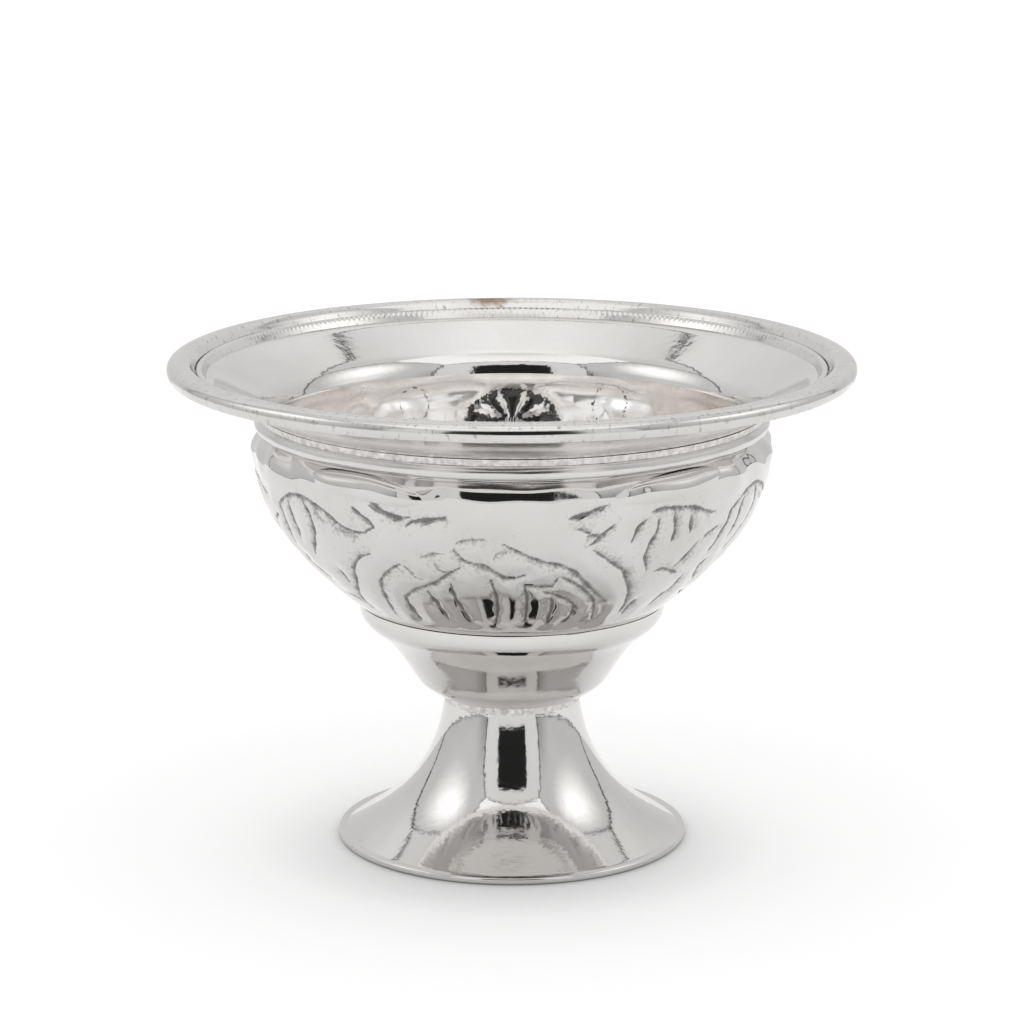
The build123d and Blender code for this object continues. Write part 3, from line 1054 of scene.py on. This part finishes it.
def silver_solder():
    """Rough, slightly yellow solder with pits."""
    material, tree, shader = new_material("silver_solder")
    pits = noise(tree, body_place(tree), scale=1400, detail=5, roughness=0.7)
    tone = blend(tree, between(tree, pits, 0.35, 0.65), bright(0.5, 0.07), bright(0.76, 0.04))
    gloss = between(tree, pits, 0.3, 0.7, 0.45, 0.2)
    normal = bump(tree, pits, 0.35, 0.00005)
    set_inputs(tree, shader, {"Base Color": tone, "Roughness": gloss, "Metallic": 1, "Normal": normal})
    return material


polished = polished_silver("polished_silver", (0.04, 0.10))
drawn = polished_silver("drawn_silver", (0.16, 0.28))
chased = chased_silver()
milled = milled_silver()
solder = silver_solder()

piece(foot_wire_mesh(), "foot_wire", polished)
piece(pedestal_foot_mesh(), "pedestal_foot", polished)
piece(stem_solder_mesh(), "stem_solder", solder)
piece(lower_cup_mesh(), "lower_cup", polished)
piece(chased_bowl_mesh(), "chased_bowl", chased)
piece(neck_ring_mesh(), "neck_ring", drawn)
piece(neck_solder_mesh(), "neck_solder", solder)
piece(flared_rim_mesh(), "flared_rim", polished)
piece(bead_wire_mesh(), "bead_wire", milled)
piece(rim_border_mesh(), "rim_border", milled)


# Studio: a white table in a light tent of white cloth, with dark seams and an open front

def stage_mesh(name, corners, material):
    """Flat sheet that isn't part of the object, with corners in metres."""
    mesh = bpy.data.meshes.new(name)
    mesh.from_pydata(corners, [], [list(range(len(corners)))])
    mesh.materials.append(material)
    made = bpy.data.objects.new(name, mesh)
    bpy.context.scene.collection.objects.link(made)
    return made


def seen_directly(tree):
    """1 for rays from the camera, a mirror or glass, and 0 for the rest."""
    path = add_node(tree, "LightPath").outputs
    mirrored = maths(tree, "MAXIMUM", path["Is Glossy Ray"], path["Is Transmission Ray"])
    return maths(tree, "MAXIMUM", path["Is Camera Ray"], mirrored)


def glow(tree, strength):
    """White light of a strength, where 1 is white."""
    return add_node(tree, "Emission", {"Strength": strength}).outputs[0]


def show_instead(tree, shader, shown):
    """Puts something else in the place of a material's usual shader."""
    tree.nodes.remove(shader)
    tree.links.new(shown, tree.nodes["Material Output"].inputs["Surface"])


floor_half = 4.0
floor_white = 0.8
floor_glow = 0.27
shadow_reach = 0.028        # how far the contact shadow spreads, in metres
shadow_level = 0.3
shadow_lean = (0.0, 0.6, 0.8)   # light comes more from behind, so the shadow falls to the front


def floor_material():
    """White table that keeps the bowl's shadow and still reads as white."""
    material, tree, shader = new_material("white_table")
    lean = add_node(tree, "CombineXYZ", dict(zip("XYZ", shadow_lean))).outputs[0]
    shadow = {"Distance": shadow_reach, "Normal": lean}
    # painted shadow: the table's colour and glow darken where ambient occlusion finds the bowl within reach
    openness = add_node(tree, "AmbientOcclusion", shadow).outputs["AO"]
    white = blend(tree, openness, bright(floor_white * shadow_level, 0), bright(floor_white, 0))
    table = add_node(tree, "BsdfDiffuse", {"Color": white}).outputs[0]
    strength = maths(tree, "MULTIPLY", seen_directly(tree), between(tree, openness, 0, 1, 0, floor_glow))
    both = add_node(tree, "AddShader", {0: table, 1: glow(tree, strength)}).outputs[0]
    show_instead(tree, shader, both)
    return material


floor_signs = ((-1, -1), (1, -1), (1, 1), (-1, 1))
stage_mesh("table", [(floor_half * x, floor_half * y, 0) for x, y in floor_signs], floor_material())

# Light tent: sizes in metres, levels where 1 is white
tent_side = 0.30
tent_front = -0.345
tent_back = 0.215
tent_top = 0.57
tent_slope = 0.05           # where the roof begins to slope down to the back
tent_back_top = 0.34
seam_width = 0.008
seam_inset = 0.99           # seams and opening lie just inside the walls
opening_half = 0.132
opening_bottom = 0.04
opening_top = 0.39
opening_seen = (0.014, 0.018)    # mirrors farther aside than this don't show the opening
seam_level = 0.03
opening_level = 0.02
front_level = 0.92
side_level = 0.75
back_level = 0.76
roof_level = 1.3
slope_level = 0.85
cloth_change = 0.02         # share by which the weave changes a level

# Soft spots on the cloth: centre, spread along each axis, and the level that they add in the middle
back_spot = ((0, tent_back, tent_back_top), (0.6, 1, 0.3), 0.3)
roof_spot = ((0, 0, tent_top), (0.2, 0.2, 1), -0.3)
slope_spot = ((0, tent_slope, tent_top), (0.22, 0.3, 1), 0.5)


def side_spots(x):
    """Spots of a side wall: dark low at the front and along the table, bright before a lamp."""
    low_front = ((x, tent_front, 0), (1, 0.2, 0.4), -0.3)
    low = ((x, 0, 0), (1, 1, 0.12), -0.05)
    lamp = ((x, 0, 0.31), (1, 0.2, 0.24), 1.0)
    return low_front, low, lamp


def cloth(name, level, *spots):
    """Glowing cloth of a level, with soft spots that add light or take it away."""
    material, tree, shader = new_material(name)
    place = body_place(tree)
    weave = noise(tree, place, scale=30, detail=3)
    total = between(tree, weave, 0.3, 0.7, (1 - cloth_change) * level, (1 + cloth_change) * level)
    for centre, spread, gain in spots:
        far = far_from(tree, place, centre, "DIVIDE", spread)
        spot = between(tree, far, 0.0, 1.0, gain, 0.0, interpolation_type="SMOOTHSTEP")
        total = maths(tree, "ADD", total, spot)
    show_instead(tree, shader, glow(tree, total))
    return material


def opening_cloth():
    """Dark opening that only the middle of the bowl mirrors: to the rest it is like the wall around it.

    The way back along a ray leads to the point on the bowl that mirrors the opening, whatever the view.
    """
    material, tree, shader = new_material("tent_opening")
    geometry = add_node(tree, "NewGeometry").outputs
    run = add_node(tree, "LightPath").outputs["Ray Length"]
    scaled = {0: geometry["Incoming"], "Scale": run}
    way_back = add_node(tree, "VectorMath", scaled, operation="SCALE").outputs[0]
    mirror = vector_maths(tree, "ADD", geometry["Position"], way_back)
    level = between(tree, off_middle_plane(tree, mirror), *opening_seen, opening_level, front_level)
    show_instead(tree, shader, glow(tree, level))
    return material


def tent_sheet(name, corners, material):
    """Sheet of the tent, which only mirrors show."""
    made = stage_mesh(name, corners, material)
    made.visible_camera = False
    made.visible_diffuse = False
    made.visible_shadow = False


def upright(start, end, bottom, top):
    """Corners of an upright sheet between two (x, y) places."""
    return [(*start, bottom), (*end, bottom), (*end, top), (*start, top)]


def seam_strip(start, end):
    """Corners of a strip that hangs under a line between two points."""
    drop = 2 * seam_width
    return [start, end, (*end[:2], end[2] - drop), (*start[:2], start[2] - drop)]


def light_tent():
    """Four walls and a roof, dark seams along their edges, and the opening at the front."""
    seam = cloth("tent_seam", seam_level)
    opening = opening_cloth()
    front_edge = [(-tent_side, tent_front, tent_top), (tent_side, tent_front, tent_top)]
    slope_edge = [(-tent_side, tent_slope, tent_top), (tent_side, tent_slope, tent_top)]
    back_edge = [(-tent_side, tent_back, tent_back_top), (tent_side, tent_back, tent_back_top)]
    for end, name in enumerate(("left", "right")):
        x = front_edge[end][0]
        wall = cloth("tent_" + name, side_level, *side_spots(x))
        tops = [back_edge[end], slope_edge[end], front_edge[end]]
        tent_sheet("tent_" + name, [(x, tent_front, 0), (x, tent_back, 0), *tops], wall)
        seam_x = x * seam_inset
        for part, (start, finish) in enumerate(zip(tops, tops[1:])):
            strip = seam_strip((seam_x, *start[1:]), (seam_x, *finish[1:]))
            tent_sheet(f"seam_top_{name}_{part}", strip, seam)
        foot = upright((seam_x, tent_front), (seam_x, tent_back), 0, seam_width / 2)
        tent_sheet("seam_foot_" + name, foot, seam)
        for y, top, side in ((tent_front, tent_top, "front"), (tent_back, tent_back_top, "back")):
            seam_y = y * seam_inset
            inward = seam_x - math.copysign(seam_width, seam_x)
            along = seam_y - math.copysign(seam_width, seam_y)
            tent_sheet(f"seam_{side}_{name}", upright((seam_x, seam_y), (inward, seam_y), 0, top), seam)
            tent_sheet(f"seam_{name}_{side}", upright((seam_x, seam_y), (seam_x, along), 0, top), seam)
    back = cloth("tent_back", back_level, back_spot)
    tent_sheet("tent_back", upright(back_edge[0][:2], back_edge[1][:2], 0, tent_back_top), back)
    front = cloth("tent_front", front_level)
    tent_sheet("tent_front", upright(front_edge[0][:2], front_edge[1][:2], 0, tent_top), front)
    roof = cloth("tent_roof", roof_level, roof_spot)
    tent_sheet("tent_roof", front_edge + slope_edge[::-1], roof)
    slope = cloth("tent_slope", slope_level, slope_spot)
    tent_sheet("tent_slope", slope_edge + back_edge[::-1], slope)
    for edge, side in ((front_edge, "front"), (back_edge, "back")):
        ends = [(corner[0], corner[1] * seam_inset, corner[2]) for corner in edge]
        tent_sheet("seam_top_" + side, seam_strip(*ends), seam)
    left = (-opening_half, tent_front * seam_inset)
    right = (opening_half, tent_front * seam_inset)
    tent_sheet("tent_opening", upright(left, right, opening_bottom, opening_top), opening)


light_tent()


def white_room():
    """Plain white world that lights the scene at a plain level."""
    world = bpy.data.worlds.new("white_room")
    world.use_nodes = True
    background = world.node_tree.nodes["Background"]
    background.inputs["Color"].default_value = (1, 1, 1, 1)
    background.inputs["Strength"].default_value = 1
    bpy.context.scene.world = world


white_room()


# Camera as in the photograph
image_size = 1024
focal_pixels = 3754
sensor = 36
camera_place = (0, -0.4287, 0.1398)
camera_dip = 13.23          # degrees below level
camera_data = bpy.data.cameras.new("camera")
camera_data.sensor_width = sensor
camera_data.lens = focal_pixels / image_size * sensor
camera_data.clip_start = 0.01
camera = bpy.data.objects.new("camera", camera_data)
camera.location = camera_place
camera.rotation_euler = (math.radians(90 - camera_dip), 0, 0)
bpy.context.scene.collection.objects.link(camera)
bpy.context.scene.camera = camera
bpy.context.scene.view_settings.view_transform = "Standard"
